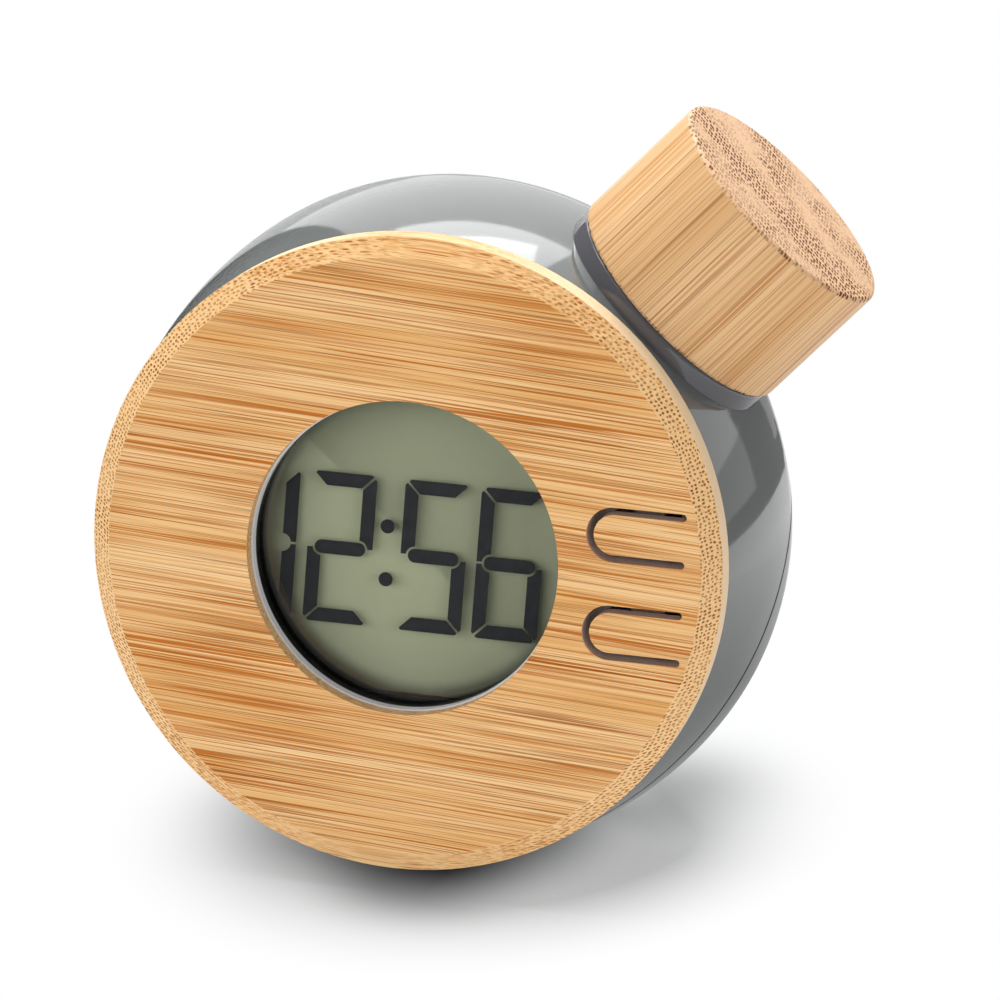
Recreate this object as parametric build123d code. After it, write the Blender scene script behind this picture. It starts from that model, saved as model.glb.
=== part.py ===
"""Round desk clock: a leaning ball of grey plastic that holds water, with a bamboo front and cap.

The pieces are made lying in the panel's own frame and are then stood up as one.
In that frame X runs to the right, Y runs up the panel and Z points out of its front,
so a depth of 5 behind the front face is Z = -5. Once stood up, +Z is up, the panel looks
towards -Y and leans back, and the origin is the middle of the foot. Millimetres.
"""
import os
from math import acos, asin, cos, pi, radians, sin, tan

from build123d import *

# Stance: how far the panel leans back, its height over the table and its place ahead of the foot.
LEAN = 8.5
PANEL_OFF_TABLE = 2.94
FACE_AHEAD_OF_FOOT = 19.5

# Bamboo panel.
PANEL_DIAMETER = 80.0
PANEL_THICKNESS = 5.0
PANEL_BEVEL_WIDTH = 2.4
PANEL_BEVEL_DEPTH = 1.5
PANEL_OVERHANG = 0.4
WINDOW_LIP_DEPTH = 2.1
RING_WALL = 1.65
RING_STEP = 0.2
SEAT_CLEARANCE = 0.05

# Bamboo keys, one above the other, each cut free by a U-shaped kerf and left whole at its root.
KEY_PITCH = 12.3
KEY_MIDDLE_V = -0.4
KEY_ROOT_INSET = 5.0
KEY_LENGTH = 11.0
KEY_WIDTH = 5.0
KEY_THICKNESS = 2.2
KEY_TURN = 2.5
KEY_ROOT_SPARE = 1.0
KERF_WIDTH = 0.95

# Post behind each key, with a conductive pill that closes a split pad on the board.
POST_INSET = 2.75
POST_RADIUS = 1.5
POST_FLANGE_RADIUS = 2.0
POST_FLANGE_THICKNESS = 0.6
POST_CLEARANCE = 0.8
PILL_THICKNESS = 0.8
PILL_CLEARANCE = 0.03
PAD_RADIUS = 2.4
PAD_THICKNESS = 0.1
PAD_SPLIT = 0.4

# Two plastic shells: a body of revolution about the panel's axis, split by an inclined plane.
BODY_FRONT_WALL = 2.3
BODY_BULGE = 3.2
WIDEST_BEHIND_NECK = 6.0
BODY_REAR_DEPTH = 20.0
BODY_SHOULDER_SHARE = 0.6
SHELL_WALL = 2.2
SPLIT_BEHIND_NECK = 5.0
SPLIT_TILT = 25.5
SEAM_THICKNESS = 0.3
TAPE_THICKNESS = 0.2
TAPE_WIDTH = 4.5
TAPE_INSET = 0.4

# Neck on the upper right, and the cap that plugs it.
NECK_ANGLE = 47.3
NECK_BEHIND_TAPE = 1.1
NECK_SUNK = 0.9
NECK_BORE_RADIUS = 12.5
NECK_SLEEVE_WALL = 2.0
NECK_SLEEVE_LENGTH = 5.7
COLLAR_LAND = 1.2
COLLAR_ROUND = 0.4
CAP_OVERHANG = 0.3
CAP_LENGTH = 18.4
CAP_ROUND = 0.6
CAP_SOCKET_DEPTH = 10.0
PLUG_STEP = 1.0
PLUG_LENGTH = 5.2
PLUG_CLEARANCE = 0.08
CAP_SEAL_HEIGHT = 1.6
CAP_SEAL_DEPTH = 1.0
CAP_SEAL_FROM_TOP = 1.9

# Dry cup for the electronics, let into the front of the body.
CUP_WALL = 1.4
CUP_SPACE = 2.1
CUP_CLEARANCE = 0.3
FLANGE_WIDTH = 2.4
FLANGE_THICKNESS = 1.6
FLANGE_CLEARANCE = 0.1
CUP_GASKET_THICKNESS = 0.6
LIP_THICKNESS = 1.8

# Display stack behind the panel.
GLASS_OVERLAP = 1.2
GLASS_THICKNESS = 1.0
GLASS_LEDGE = 2.5
FILM_THICKNESS = 0.1
SEGMENT_THICKNESS = 0.1
REFLECTOR_THICKNESS = 0.2
GLASS_CLEARANCE = 0.15

# The time on the display, drawn for a window of one size and fitted to the real one.
DRAWN_WINDOW = 39.6
DIGITS = "1256"
DIGIT_MIDDLE_US = (-19.25, -9.4, 2.55, 12.25)
DIGIT_MIDDLE_V = -0.9
DIGIT_WIDTH = 8.35
DIGIT_HEIGHT = 19.2
DIGIT_SLANT = 2.0
STROKE = 1.75
STROKE_GAP = 0.3
STROKE_TRIM = 0.25
COLON_U = -3.4
COLON_SPACING = 6.75
COLON_RADIUS = 0.9

# Frame, board and what they carry.
FRAME_CLEARANCE = 0.8
FRAME_CORNER_WALL = 2.9
FRAME_THICKNESS = 3.0
BOARD_INSET = 1.1
BOARD_THICKNESS = 1.6
BOARD_GAP = 1.4
CONNECTOR_INSET = 3.0
CONNECTOR_WIDTH = 1.8
CHIP_RADIUS = 4.0
CHIP_HEIGHT = 1.2
CHIP_PLACE = (0.0, 14.0)
CAPACITOR_RADIUS = 3.0
CAPACITOR_HEIGHT = 2.0
CAPACITOR_PLACE = (0.0, -18.0)

# Screws.
SCREW_RADIUS = 0.9
SCREW_HEAD_RADIUS = 1.8
SCREW_HEAD_HEIGHT = 1.2
SCREW_SLOT_WIDTH = 0.5
SCREW_SLOT_DEPTH = 0.5
FRAME_SCREW_INSET = 5.1
FRAME_SCREW_BITE = 2.2
FRAME_SCREW_ANGLES = (0, 90, 180, 270)
BOARD_SCREW_INSET = 4.1
BOARD_SCREW_BITE = 2.4
BOARD_SCREW_ANGLES = (30, 150, 210, 330)
BOARD_POST_RADIUS = 2.2

# Electrodes that stand in the water.
PLATE_WIDTH = 20.0
PLATE_HEIGHT = 30.0
PLATE_THICKNESS = 1.0
PLATE_STANDOFF = 7.5
PLATE_SPACING = 24.0
STUD_RADIUS = 1.5
STUD_SHOULDER_RADIUS = 2.5
STUD_HEAD_RADIUS = 2.6
STUD_HEAD_HEIGHT = 1.0
TERMINAL_SEAL_RADIUS = 2.4
TERMINAL_FLANGE_RADIUS = 3.4
TERMINAL_FLANGE_THICKNESS = 0.8

# Rubber foot in the flat underside.
FOOT_WIDTH = 30.0
FOOT_LENGTH = 22.0
FOOT_THICKNESS = 1.5
FOOT_PROUD = 0.3
FOOT_CLEARANCE = 0.1
FLOOR_THICKNESS = 2.9

FAR = 200.0
UP_FROM_BASE = (Align.CENTER, Align.CENTER, Align.MIN)

# Radii that follow from the panel's: body, cup, frame, and the largest square glass the frame holds.
PANEL_RADIUS = PANEL_DIAMETER / 2
BODY_FRONT_RADIUS = PANEL_RADIUS - PANEL_OVERHANG
BODY_RADIUS = BODY_FRONT_RADIUS + BODY_BULGE
FLANGE_RADIUS = BODY_FRONT_RADIUS - BODY_FRONT_WALL - FLANGE_CLEARANCE
CUP_RADIUS = FLANGE_RADIUS - FLANGE_WIDTH
FRAME_RADIUS = CUP_RADIUS - CUP_WALL - FRAME_CLEARANCE
BOARD_RADIUS = FRAME_RADIUS - BOARD_INSET
FRAME_SCREW_CIRCLE = FRAME_RADIUS - FRAME_SCREW_INSET
BOARD_SCREW_CIRCLE = FRAME_RADIUS - BOARD_SCREW_INSET
GLASS_SIZE = (FRAME_RADIUS - FRAME_CORNER_WALL) * 2**0.5
WINDOW_RADIUS = GLASS_SIZE / 2 - GLASS_OVERLAP
CONNECTOR_LENGTH = GLASS_SIZE - 2 * CONNECTOR_INSET
FACE_HEIGHT = PANEL_RADIUS * cos(radians(LEAN)) + PANEL_OFF_TABLE

# Neck and cap: the neck clears the back of the panel, and the body is widest a little behind it.
COLLAR_RADIUS = NECK_BORE_RADIUS + NECK_SLEEVE_WALL + COLLAR_LAND
CAP_RADIUS = COLLAR_RADIUS + CAP_OVERHANG
CAP_SOCKET_RADIUS = NECK_BORE_RADIUS - PLUG_STEP
TAPE_BACK = PANEL_THICKNESS + TAPE_THICKNESS
NECK_DEPTH = TAPE_BACK + NECK_BEHIND_TAPE + COLLAR_RADIUS
NECK_TOP = BODY_RADIUS - NECK_SUNK
SPLIT_DEPTH = NECK_DEPTH + SPLIT_BEHIND_NECK
BODY_WIDEST_DEPTH = NECK_DEPTH + WIDEST_BEHIND_NECK

# Depths behind the panel's front face.
FLANGE_BACK = TAPE_BACK + FLANGE_THICKNESS
GASKET_BACK = FLANGE_BACK + CUP_GASKET_THICKNESS
LIP_BACK = GASKET_BACK + LIP_THICKNESS
FRONT_GLASS_BACK = PANEL_THICKNESS + GLASS_THICKNESS
SEGMENT_BACK = FRONT_GLASS_BACK + SEGMENT_THICKNESS
FILM_BACK = SEGMENT_BACK + FILM_THICKNESS
REAR_GLASS_BACK = FILM_BACK + GLASS_THICKNESS
FRAME_BACK = PANEL_THICKNESS + FRAME_THICKNESS
BOARD_FRONT = FRAME_BACK + BOARD_GAP
BOARD_BACK = BOARD_FRONT + BOARD_THICKNESS
CUP_FLOOR = BOARD_BACK + CUP_SPACE
CUP_BACK_DEPTH = CUP_FLOOR + CUP_WALL
PLATE_DEPTH = CUP_BACK_DEPTH + PLATE_STANDOFF

# Keys: the pill stops just short of its pad when the key is turned as far as it goes.
KEY_VS = {"upper": KEY_MIDDLE_V + KEY_PITCH / 2, "lower": KEY_MIDDLE_V - KEY_PITCH / 2}
KEY_ROOT_U = PANEL_RADIUS - KEY_ROOT_INSET
KEY_ARC_U = KEY_ROOT_U - KEY_LENGTH + KEY_WIDTH / 2
POST_U = KEY_ROOT_U - KEY_LENGTH + POST_INSET
POST_LEVER = KEY_LENGTH - POST_INSET + POST_RADIUS
PAD_FRONT = BOARD_FRONT - PAD_THICKNESS
PILL_REACH = PAD_FRONT - PILL_CLEARANCE - POST_LEVER * sin(radians(KEY_TURN))
PILL_TIP = PILL_REACH / cos(radians(KEY_TURN))

STAND = Plane(
    origin=(0, -FACE_AHEAD_OF_FOOT, FACE_HEIGHT),
    x_dir=(1, 0, 0),
    z_dir=(0, -cos(radians(LEAN)), sin(radians(LEAN))),
).location


def rod(radius, front, back, u=0.0, v=0.0):
    """A round bar from one depth to a greater one."""
    return Pos(u, v, -back) * Cylinder(radius, back - front, align=UP_FROM_BASE)


def tube(outer, inner, front, back, u=0.0, v=0.0):
    """A ring between two radii."""
    return rod(outer, front, back, u, v) - rod(inner, front, back, u, v)


def slab(width, height, front, back, u=0.0, v=0.0):
    """A rectangular plate."""
    return Pos(u, v, -back) * Box(width, height, back - front, align=UP_FROM_BASE)


def prism(sketch, front, back):
    """A flat outline drawn on the panel, made solid between two depths."""
    return Pos(0, 0, -back) * extrude(sketch, back - front)


def around(circle, angles):
    """The places on a circle at the given angles."""
    return [(circle * cos(radians(a)), circle * sin(radians(a))) for a in angles]


def above_floor(height):
    """Everything higher than a level over the table, in the panel's frame."""
    return STAND.inverse() * Pos(0, 0, height) * Box(FAR, FAR, FAR, align=UP_FROM_BASE)


def ahead_of_split(behind=0.0):
    """Everything in front of the inclined parting plane, or of one a little behind it."""
    block = Box(2 * FAR, 2 * FAR, FAR, align=UP_FROM_BASE)
    return Pos(0, 0, -SPLIT_DEPTH) * Rot(-SPLIT_TILT, 0, 0) * Pos(0, 0, -behind) * block


def on_neck(solid):
    """Moves a piece drawn along +Z from the body's axis on to the neck's axis."""
    return Pos(0, 0, -NECK_DEPTH) * Rot(0, 0, NECK_ANGLE) * Rot(0, 90, 0) * solid


def neck_rod(radius, start, end):
    """A round bar on the neck's axis, between two distances from the body's axis."""
    return on_neck(Pos(0, 0, start) * Cylinder(radius, end - start, align=UP_FROM_BASE))


def arc_points(across, ahead, radius, angles):
    """Points of an arc in the body's half section, about a centre placed from its widest level."""
    level = ahead - BODY_WIDEST_DEPTH
    return [(across + radius * cos(a), level + radius * sin(a)) for a in angles]


def ball(inset, front):
    """The body's round form, drawn in by an inset: a bowed side, a round shoulder and a shallow back."""
    rise = BODY_RADIUS - BODY_FRONT_RADIUS
    run = BODY_WIDEST_DEPTH - TAPE_BACK
    bow = (rise**2 + run**2) / (2 * rise)
    centre = BODY_RADIUS - bow
    swing = asin((BODY_WIDEST_DEPTH - front) / (bow - inset))
    side = arc_points(centre, 0, bow - inset, (swing, swing / 2, 0))
    shoulder = BODY_SHOULDER_SHARE * BODY_REAR_DEPTH
    across = BODY_RADIUS - shoulder
    back = (across**2 + BODY_REAR_DEPTH**2 - shoulder**2) / (2 * (BODY_REAR_DEPTH - shoulder))
    turn = -acos(across / (back - shoulder))
    corner = arc_points(across, 0, shoulder - inset, (0, turn / 2, turn))
    straight = -pi / 2
    rear = arc_points(0, back - BODY_REAR_DEPTH, back - inset, (turn, (turn + straight) / 2, straight))
    rear[-1] = (0, rear[-1][1])
    outline = [
        Line((0, -front), side[0]),
        ThreePointArc(*side),
        ThreePointArc(side[-1], *corner[1:]),
        ThreePointArc(corner[-1], *rear[1:]),
        Line(rear[-1], (0, -front)),
    ]
    return revolve(Plane.XZ * make_face(outline), Axis.Z)


def key_outline(v, margin=0.0):
    """A key's tongue, round at its free end and straight at its root."""
    half = KEY_WIDTH / 2 + margin
    tongue = Pos((KEY_ARC_U + KEY_ROOT_U) / 2, v) * Rectangle(KEY_ROOT_U - KEY_ARC_U, 2 * half)
    return tongue + Pos(KEY_ARC_U, v) * Circle(half)


def make_panel():
    """Bamboo disc with its bevel, stepped window, key openings and screw holes."""
    disc = rod(PANEL_RADIUS, PANEL_BEVEL_DEPTH, PANEL_THICKNESS)
    bevel = Pos(0, 0, -PANEL_BEVEL_DEPTH) * Cone(
        PANEL_RADIUS,
        PANEL_RADIUS - PANEL_BEVEL_WIDTH,
        PANEL_BEVEL_DEPTH,
        align=UP_FROM_BASE,
    )
    panel = disc + bevel
    panel -= rod(WINDOW_RADIUS, 0, PANEL_THICKNESS)
    ring_outer = WINDOW_RADIUS + RING_WALL
    panel -= rod(ring_outer + SEAT_CLEARANCE, WINDOW_LIP_DEPTH, PANEL_THICKNESS)
    for v in KEY_VS.values():
        panel -= prism(key_outline(v, KERF_WIDTH), 0, PANEL_THICKNESS)
        for side in (-1, 1):
            leg_v = v + side * (KEY_WIDTH + KERF_WIDTH) / 2
            panel -= rod(KERF_WIDTH / 2, 0, PANEL_THICKNESS, KEY_ROOT_U, leg_v)
    for u, v in around(FRAME_SCREW_CIRCLE, FRAME_SCREW_ANGLES):
        panel -= rod(SCREW_RADIUS, PANEL_THICKNESS - FRAME_SCREW_BITE, PANEL_THICKNESS, u, v)
    return panel


def make_key(v):
    """Bamboo tongue, thinned behind, with its root cut back so that it can bend."""
    tongue = prism(key_outline(v), 0, KEY_THICKNESS)
    back_off = KEY_THICKNESS * tan(radians(KEY_TURN + KEY_ROOT_SPARE))
    wedge = Plane.XZ * make_face(
        Polyline(
            (KEY_ROOT_U, 0),
            (KEY_ROOT_U - back_off, -KEY_THICKNESS),
            (KEY_ROOT_U, -KEY_THICKNESS),
            close=True,
        )
    )
    return tongue - Pos(0, v, 0) * extrude(wedge, KEY_WIDTH, both=True)


def make_key_post(v):
    """Plastic post glued behind a key by its flange."""
    flange_back = KEY_THICKNESS + POST_FLANGE_THICKNESS
    post = rod(POST_FLANGE_RADIUS, KEY_THICKNESS, flange_back, POST_U, v)
    return post + rod(POST_RADIUS, KEY_THICKNESS, PILL_TIP - PILL_THICKNESS, POST_U, v)


def make_contact_pad(v):
    """Round plated pad on the board, split in two, which a pill joins."""
    pad = rod(PAD_RADIUS, PAD_FRONT, BOARD_FRONT, POST_U, v)
    return pad - slab(2 * PAD_RADIUS, PAD_SPLIT, PAD_FRONT, BOARD_FRONT, POST_U, v)


def make_shells():
    """Front shell with its neck, the seam and the rear shell with the flat foot."""
    outer = ball(0, TAPE_BACK)
    body = outer + neck_rod(COLLAR_RADIUS, NECK_TOP - 2 * NECK_SLEEVE_LENGTH, NECK_TOP)
    rim = body.edges().filter_by(GeomType.CIRCLE)
    rim = [e for e in rim if abs(e.radius - COLLAR_RADIUS) < 0.01]
    body = fillet(rim, COLLAR_ROUND)
    body &= above_floor(FOOT_PROUD)
    cavity = ball(SHELL_WALL, LIP_BACK) & above_floor(FOOT_PROUD + FLOOR_THICKNESS)
    body -= cavity
    sleeve_end = NECK_TOP - NECK_SLEEVE_LENGTH
    sleeve = neck_rod(NECK_BORE_RADIUS + NECK_SLEEVE_WALL, sleeve_end, NECK_TOP - COLLAR_ROUND)
    body += sleeve & outer
    body -= neck_rod(NECK_BORE_RADIUS, sleeve_end, NECK_TOP + CAP_LENGTH)
    body -= rod(FLANGE_RADIUS + FLANGE_CLEARANCE, 0, GASKET_BACK)
    body -= rod(CUP_RADIUS + CUP_CLEARANCE, 0, CUP_BACK_DEPTH)
    body -= foot(FOOT_CLEARANCE)
    front = body & ahead_of_split()
    seam = (body & ahead_of_split(SEAM_THICKNESS)) - ahead_of_split()
    rear = body - ahead_of_split(SEAM_THICKNESS)
    return front, seam, rear


def foot(margin=0.0):
    """Rubber pad under the body, or the recess for it."""
    outline = Ellipse(FOOT_WIDTH / 2 + margin, FOOT_LENGTH / 2 + margin)
    return STAND.inverse() * extrude(outline, FOOT_THICKNESS)


def make_cup():
    """Dry cup with its flange and the two holes for the terminals."""
    cup = rod(FLANGE_RADIUS, TAPE_BACK, FLANGE_BACK) + rod(CUP_RADIUS, TAPE_BACK, CUP_BACK_DEPTH)
    cup -= rod(CUP_RADIUS - CUP_WALL, TAPE_BACK, CUP_FLOOR)
    for u in (-PLATE_SPACING / 2, PLATE_SPACING / 2):
        cup -= rod(TERMINAL_SEAL_RADIUS, CUP_FLOOR, CUP_BACK_DEPTH, u)
    return cup


def make_frame():
    """Plate that holds the display against the panel, with posts for the board."""
    frame = rod(FRAME_RADIUS, PANEL_THICKNESS, FRAME_BACK)
    opening = GLASS_SIZE + 2 * GLASS_CLEARANCE
    frame -= slab(opening, opening, PANEL_THICKNESS, FRAME_BACK)
    for v in KEY_VS.values():
        frame -= rod(POST_RADIUS + POST_CLEARANCE, PANEL_THICKNESS, FRAME_BACK, POST_U, v)
    for u, v in around(FRAME_SCREW_CIRCLE, FRAME_SCREW_ANGLES):
        frame -= rod(SCREW_RADIUS, PANEL_THICKNESS, FRAME_BACK, u, v)
    for u, v in around(BOARD_SCREW_CIRCLE, BOARD_SCREW_ANGLES):
        frame += rod(BOARD_POST_RADIUS, FRAME_BACK, BOARD_FRONT, u, v)
        frame -= rod(SCREW_RADIUS, BOARD_FRONT - BOARD_SCREW_BITE, BOARD_FRONT, u, v)
    return frame


def make_board():
    """Round circuit board with its screw holes."""
    board = rod(BOARD_RADIUS, BOARD_FRONT, BOARD_BACK)
    for u, v in around(BOARD_SCREW_CIRCLE, BOARD_SCREW_ANGLES):
        board -= rod(SCREW_RADIUS, BOARD_FRONT, BOARD_BACK, u, v)
    return board


def screw(seat, bite, u, v):
    """Pan-head screw that enters from behind, with its head on a seat and its shank ahead of it."""
    top = seat + SCREW_HEAD_HEIGHT
    solid = rod(SCREW_RADIUS, seat - bite, seat, u, v) + rod(SCREW_HEAD_RADIUS, seat, top, u, v)
    return solid - slab(3 * SCREW_HEAD_RADIUS, SCREW_SLOT_WIDTH, top - SCREW_SLOT_DEPTH, top, u, v)


def slanted(points):
    """A closed outline from upright points, leaned over by the digits' slant."""
    lean = tan(radians(DIGIT_SLANT))
    return make_face(Polyline(*[(x + y * lean, y) for x, y in points], close=True))


def digit_bars(mark):
    """The lit bars of one seven-bar digit about its middle, with mitred corners and a round-ended centre."""
    lit = {"1": "bc", "2": "abged", "5": "afgcd", "6": "afgedc"}[mark]
    w, h = DIGIT_WIDTH / 2, DIGIT_HEIGHT / 2
    cut = STROKE_GAP / 2**0.5
    trim = STROKE_TRIM
    middle = SlotOverall(DIGIT_WIDTH - STROKE - STROKE_GAP / 2, STROKE)
    around_middle = SlotOverall(DIGIT_WIDTH - STROKE + 1.5 * STROKE_GAP, STROKE + 2 * STROKE_GAP)
    half_level = [(w - cut - 2 * trim, h), (w - cut - trim, h - trim), (w - STROKE - cut, h - STROKE)]
    upright = [
        (w, h - cut - 2 * trim),
        (w - trim, h - cut - trim),
        (w - STROKE, h - STROKE - cut),
        (w - STROKE, STROKE_GAP / 2),
        (w, STROKE_GAP / 2),
    ]
    level = half_level + [(-x, y) for x, y in reversed(half_level)]
    outlines = {"g": middle}
    for name, side in (("a", 1), ("d", -1)):
        outlines[name] = slanted([(x, side * y) for x, y in level])
    for name, right, up in (("b", 1, 1), ("c", 1, -1), ("f", -1, 1), ("e", -1, -1)):
        outlines[name] = slanted([(right * x, up * y) for x, y in upright]) - around_middle
    return [outlines[name] for name in lit]


def make_segments():
    """Thin film with the dark bars of the time raised on it, kept to what the window shows."""
    film_height = GLASS_SIZE - 2 * GLASS_LEDGE
    film = slab(GLASS_SIZE, film_height, SEGMENT_BACK, FILM_BACK)
    marks = []
    for mark, u in zip(DIGITS, DIGIT_MIDDLE_US):
        marks += [Pos(u, DIGIT_MIDDLE_V) * bar for bar in digit_bars(mark)]
    for side in (-1, 1):
        marks.append(Pos(COLON_U, DIGIT_MIDDLE_V + side * COLON_SPACING / 2) * Circle(COLON_RADIUS))
    fit = 2 * WINDOW_RADIUS / DRAWN_WINDOW
    for mark in marks:
        film += prism(mark.scale(fit), FRONT_GLASS_BACK, SEGMENT_BACK)
    return film


def make_stud(u):
    """Terminal stud: its tip meets the board, and its shoulder and head hold an electrode plate."""
    shoulder_front = CUP_BACK_DEPTH + TERMINAL_FLANGE_THICKNESS
    plate_back = PLATE_DEPTH + PLATE_THICKNESS
    stud = rod(STUD_RADIUS, BOARD_BACK, plate_back, u)
    stud += rod(STUD_SHOULDER_RADIUS, shoulder_front, PLATE_DEPTH, u)
    return stud + rod(STUD_HEAD_RADIUS, plate_back, plate_back + STUD_HEAD_HEIGHT, u)


def make_terminal_seal(u):
    """Grommet that seals a stud in the cup's floor."""
    seal = rod(TERMINAL_SEAL_RADIUS, CUP_FLOOR, CUP_BACK_DEPTH, u)
    seal += rod(TERMINAL_FLANGE_RADIUS, CUP_FLOOR - TERMINAL_FLANGE_THICKNESS, CUP_FLOOR, u)
    seal += rod(TERMINAL_FLANGE_RADIUS, CUP_BACK_DEPTH, CUP_BACK_DEPTH + TERMINAL_FLANGE_THICKNESS, u)
    return seal - rod(STUD_RADIUS, 0, FAR, u)


def make_electrode(u):
    """Flat electrode plate, held on its stud."""
    back = PLATE_DEPTH + PLATE_THICKNESS
    return slab(PLATE_WIDTH, PLATE_HEIGHT, PLATE_DEPTH, back, u) - rod(STUD_RADIUS, PLATE_DEPTH, back, u)


def make_cap():
    """Bamboo cylinder with rounded edges and a socket for its plug."""
    cap = neck_rod(CAP_RADIUS, NECK_TOP, NECK_TOP + CAP_LENGTH)
    cap = fillet(cap.edges().filter_by(GeomType.CIRCLE), CAP_ROUND)
    return cap - neck_rod(CAP_SOCKET_RADIUS, NECK_TOP, NECK_TOP + CAP_SOCKET_DEPTH)


def make_plug():
    """Stopper: its upper part is glued into the cap, its lower part slides in the neck."""
    radius = NECK_BORE_RADIUS - PLUG_CLEARANCE
    plug = neck_rod(CAP_SOCKET_RADIUS, NECK_TOP, NECK_TOP + CAP_SOCKET_DEPTH)
    plug += neck_rod(radius, NECK_TOP - PLUG_LENGTH, NECK_TOP)
    return plug - make_cap_seal()


def make_cap_seal():
    """Rubber ring in the stopper's groove."""
    top = NECK_TOP - CAP_SEAL_FROM_TOP
    radius = NECK_BORE_RADIUS - PLUG_CLEARANCE
    ring = neck_rod(radius, top - CAP_SEAL_HEIGHT, top)
    return ring - neck_rod(radius - CAP_SEAL_DEPTH, top - CAP_SEAL_HEIGHT, top)


def make_parts():
    """Every piece of the clock by name, in the panel's frame."""
    front, seam, rear = make_shells()
    window = WINDOW_RADIUS
    rear_height = GLASS_SIZE - 2 * GLASS_LEDGE
    tape_outer = BODY_FRONT_RADIUS - TAPE_INSET
    reflector_back = REAR_GLASS_BACK + REFLECTOR_THICKNESS
    capacitor_back = BOARD_BACK + CAPACITOR_HEIGHT
    connector_v = GLASS_SIZE / 2 - GLASS_LEDGE / 2
    pieces = {
        "front_panel": make_panel(),
        "window_ring": tube(window + RING_WALL, window - RING_STEP, WINDOW_LIP_DEPTH, PANEL_THICKNESS),
        "panel_tape": tube(tape_outer, tape_outer - TAPE_WIDTH, PANEL_THICKNESS, TAPE_BACK),
        "front_shell": front,
        "shell_seam": seam,
        "rear_shell": rear,
        "foot_pad": foot(),
        "module_cup": make_cup(),
        "cup_gasket": tube(FLANGE_RADIUS, CUP_RADIUS + CUP_CLEARANCE, FLANGE_BACK, GASKET_BACK),
        "display_frame": make_frame(),
        "lcd_front_glass": slab(GLASS_SIZE, GLASS_SIZE, PANEL_THICKNESS, FRONT_GLASS_BACK),
        "lcd_segments": make_segments(),
        "lcd_rear_glass": slab(GLASS_SIZE, rear_height, FILM_BACK, REAR_GLASS_BACK),
        "lcd_reflector": slab(GLASS_SIZE, rear_height, REAR_GLASS_BACK, reflector_back),
        "circuit_board": make_board(),
        "chip_cover": rod(CHIP_RADIUS, BOARD_BACK, BOARD_BACK + CHIP_HEIGHT, *CHIP_PLACE),
        "memory_capacitor": rod(CAPACITOR_RADIUS, BOARD_BACK, capacitor_back, *CAPACITOR_PLACE),
        "cap_bamboo": make_cap(),
        "cap_plug": make_plug(),
        "cap_seal": make_cap_seal(),
    }
    for name, side in (("upper", 1), ("lower", -1)):
        v = KEY_VS[name]
        pieces[f"{name}_key"] = make_key(v)
        pieces[f"{name}_key_post"] = make_key_post(v)
        pieces[f"{name}_contact_pill"] = rod(POST_RADIUS, PILL_TIP - PILL_THICKNESS, PILL_TIP, POST_U, v)
        pieces[f"{name}_contact_pad"] = make_contact_pad(v)
        pieces[f"{name}_connector"] = slab(
            CONNECTOR_LENGTH, CONNECTOR_WIDTH, FRONT_GLASS_BACK, BOARD_FRONT, 0, side * connector_v
        )
    for name, side in (("zinc", -1), ("copper", 1)):
        u = side * PLATE_SPACING / 2
        pieces[f"{name}_plate"] = make_electrode(u)
        pieces[f"{name}_terminal"] = make_stud(u)
        pieces[f"{name}_terminal_seal"] = make_terminal_seal(u)
    for number, (u, v) in enumerate(around(FRAME_SCREW_CIRCLE, FRAME_SCREW_ANGLES), 1):
        pieces[f"frame_screw_{number}"] = screw(FRAME_BACK, FRAME_THICKNESS + FRAME_SCREW_BITE, u, v)
    for number, (u, v) in enumerate(around(BOARD_SCREW_CIRCLE, BOARD_SCREW_ANGLES), 1):
        pieces[f"board_screw_{number}"] = screw(BOARD_BACK, BOARD_THICKNESS + BOARD_SCREW_BITE, u, v)
    return pieces


os.makedirs("parts", exist_ok=True)
for node, piece in make_parts().items():
    export_step(STAND * piece, f"parts/{node}.step")
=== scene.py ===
# %% [markdown]
# # A desk clock with a bamboo face
# The clock is a short round drum of glossy grey plastic that leans back a little. Its face is a
# bamboo disc with two sprung keys cut into it and a round window for a liquid crystal display, and a
# bamboo cap closes the water neck at the upper right. The solids arrive ready made, so this lesson
# is mostly about finishes, light and the few pieces whose shape has to be finer than the solids.

# %% Load the solids and keep their box
import math

import bpy
import numpy as np
from mathutils import Matrix


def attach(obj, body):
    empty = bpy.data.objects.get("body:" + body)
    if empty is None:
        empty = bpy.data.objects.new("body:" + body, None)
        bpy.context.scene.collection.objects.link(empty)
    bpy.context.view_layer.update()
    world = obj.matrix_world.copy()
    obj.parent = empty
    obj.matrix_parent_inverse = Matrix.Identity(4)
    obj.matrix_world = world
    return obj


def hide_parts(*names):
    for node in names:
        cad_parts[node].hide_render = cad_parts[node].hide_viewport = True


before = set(bpy.data.objects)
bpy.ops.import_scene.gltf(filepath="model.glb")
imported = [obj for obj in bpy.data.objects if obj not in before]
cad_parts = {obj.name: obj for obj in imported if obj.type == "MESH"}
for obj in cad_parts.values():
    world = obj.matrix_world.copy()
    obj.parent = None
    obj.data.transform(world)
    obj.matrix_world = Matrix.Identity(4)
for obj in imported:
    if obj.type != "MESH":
        bpy.data.objects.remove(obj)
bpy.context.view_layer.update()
nodes = {name: bpy.data.objects[name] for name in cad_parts}
frame_slots = {s.material.name for piece in nodes.values() for s in piece.material_slots}

# %% [markdown]
# The face leans back by 8.5 degrees, and nearly everything is laid out on it. So the sizes below are
# given in the face's own directions: u to the right, v up along the face, and d the depth behind it.
# One function turns them into the places that Blender uses, in metres.

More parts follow.
